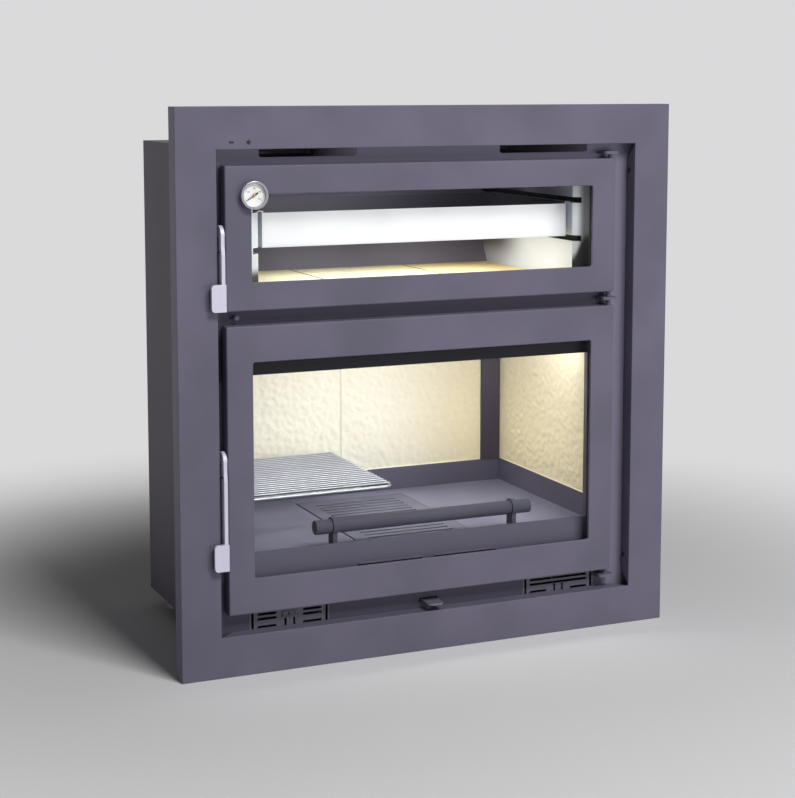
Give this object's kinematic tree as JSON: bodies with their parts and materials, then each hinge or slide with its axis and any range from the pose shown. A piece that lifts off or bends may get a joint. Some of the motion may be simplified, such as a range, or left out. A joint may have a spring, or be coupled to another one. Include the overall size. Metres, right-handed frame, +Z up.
{
  "type": "fireplace insert with oven",
  "caption": "Built-in wood-burning fireplace insert with a flat trim frame, an oven door with a thermometer above a larger glazed fire door, blowers, grate and flue outlet.",
  "frame": {"origin": "on the floor under the middle of the outer box (trim frame, grips and casing)", "axes": "+X to the right seen from the front, +Y from the doors to the casing's back, +Z up"},
  "size_m": [0.922, 0.484, 0.95],
  "materials": {
    "body_paint": "fine matt blue-grey stove paint",
    "casing_paint": "matt dark grey heat paint",
    "black_screws": "blackened steel",
    "plated_steel": "zinc plated",
    "air_tab": "satin plated",
    "grille_paint": "fine matt blue-grey stove paint",
    "blower_sheet": "galvanised sheet",
    "motor": "lacquered",
    "hearth_paint": "matt blue-grey heat paint",
    "grate_iron": "matt blue-grey heat paint on cast iron",
    "vermiculite": "pressed cream board with a dimpled face",
    "ash_sheet": "matt black",
    "grill_chrome": "bright",
    "oven_steel": "bright stainless sheet",
    "oven_dark": "matt dark grey",
    "oven_tile": "cream refractory tile",
    "rail_black": "matt black",
    "glass": "clear ceramic glass",
    "gauge_glass": "clear",
    "rope": "dark glass-fibre rope",
    "lever_satin": "satin silver",
    "gauge_chrome": "bright",
    "needle_black": "matt black"
  },
  "bodies": {
    "insert": {"front_frame": "body_paint", "face_plate": "body_paint", "hinge_lugs": "body_paint", "hinge_pins": "body_paint", "latch_keepers": "body_paint", "casing_sides": "casing_paint", "casing_back": "casing_paint", "casing_top": "casing_paint", "casing_base": "casing_paint", "flue_collar": "casing_paint", "smoke_top": "casing_paint", "fire_side_walls": "casing_paint", "fire_back_wall": "casing_paint", "oven_floor_plate": "casing_paint", "fire_jambs": "casing_paint", "panel_posts": "casing_paint", "ash_box": "casing_paint", "frame_screws": "black_screws", "levelling_feet": "plated_steel", "air_lever_stud": "plated_steel", "fan_grilles": "grille_paint", "blower_housings": "blower_sheet", "blower_motors": "motor", "hearth_plate": "hearth_paint", "hearth_rims": "hearth_paint", "log_bar": "hearth_paint", "log_posts": "hearth_paint", "side_panels": "vermiculite", "back_panels": "vermiculite", "baffle_plate": "vermiculite", "ash_pan": "ash_sheet", "grill_bracket": "grill_chrome", "oven_side_walls": "oven_steel", "oven_throat": "oven_steel", "oven_back": "oven_dark", "oven_back_foot": "oven_dark", "oven_roof": "oven_dark", "oven_tiles": "oven_tile", "oven_rails": "rail_black"},
    "oven_door": {"oven_door_frame": "body_paint", "oven_door_glass": "glass", "oven_glass_clips": "plated_steel", "oven_door_gasket": "rope", "gauge_case": "gauge_chrome", "gauge_lens": "gauge_glass"},
    "oven_latch": {"oven_lever": "lever_satin"},
    "needle": {"gauge_needle": "needle_black"},
    "fire_door": {"fire_door_frame": "body_paint", "fire_door_glass": "glass", "fire_glass_clips": "plated_steel", "fire_door_gasket": "rope"},
    "fire_latch": {"fire_lever": "lever_satin"},
    "primary_air": {"air_slide": "air_tab"},
    "secondary_air": {"air_lever": "plated_steel"},
    "blower_drum_left": {"impeller_left": "blower_sheet"},
    "blower_drum_right": {"impeller_right": "blower_sheet"},
    "tray": {"oven_tray": "oven_steel"},
    "grill": {"cooking_grill": "grill_chrome"},
    "grate": {"fire_grate": "grate_iron"}
  },
  "joints": [
    {"name": "oven_door_swing", "type": "hinge", "parent": "insert", "child": "oven_door", "pos_m": [0.348, -0.214, 0.735], "axis": [0, 0, 1], "range_deg": [0, 115]},
    {"name": "fire_door_swing", "type": "hinge", "parent": "insert", "child": "fire_door", "pos_m": [0.348, -0.214, 0.348], "axis": [0, 0, 1], "range_deg": [0, 115]},
    {"name": "oven_latch_turn", "type": "hinge", "parent": "oven_door", "child": "oven_latch", "pos_m": [-0.3843, -0.219, 0.742], "axis": [-1, 0, 0], "range_deg": [0, 35]},
    {"name": "fire_latch_turn", "type": "hinge", "parent": "fire_door", "child": "fire_latch", "pos_m": [-0.3843, -0.219, 0.368], "axis": [-1, 0, 0], "range_deg": [0, 35]},
    {"name": "needle_turn", "type": "hinge", "parent": "oven_door", "child": "needle", "pos_m": [-0.329, -0.2342, 0.806], "axis": [0, 1, 0], "range_deg": [0, 246]},
    {"name": "primary_air_pull", "type": "slide", "parent": "insert", "child": "primary_air", "axis": [0, -1, 0], "range_m": [0, 0.03]},
    {"name": "secondary_air_turn", "type": "hinge", "parent": "insert", "child": "secondary_air", "pos_m": [-0.351, -0.118, 0.8855], "axis": [0, 0, 1], "range_deg": [-8.5, 8.5]},
    {"name": "blower_left_spin", "type": "hinge", "parent": "insert", "child": "blower_drum_left", "pos_m": [-0.257, -0.156, 0.08], "axis": [1, 0, 0], "continuous": true},
    {"name": "blower_right_spin", "type": "hinge", "parent": "insert", "child": "blower_drum_right", "pos_m": [0.257, -0.156, 0.08], "axis": [1, 0, 0], "continuous": true},
    {"name": "tray_slide", "type": "slide", "parent": "insert", "child": "tray", "axis": [0, -1, 0], "range_m": [0, 0.03]},
    {"name": "grill_lift", "type": "slide", "parent": "insert", "child": "grill", "axis": [0, 0, 1], "range_m": [0, 0.2]},
    {"name": "grate_lift", "type": "slide", "parent": "insert", "child": "grate", "axis": [0, 0, 1], "range_m": [0, 0.06]}
  ]
}
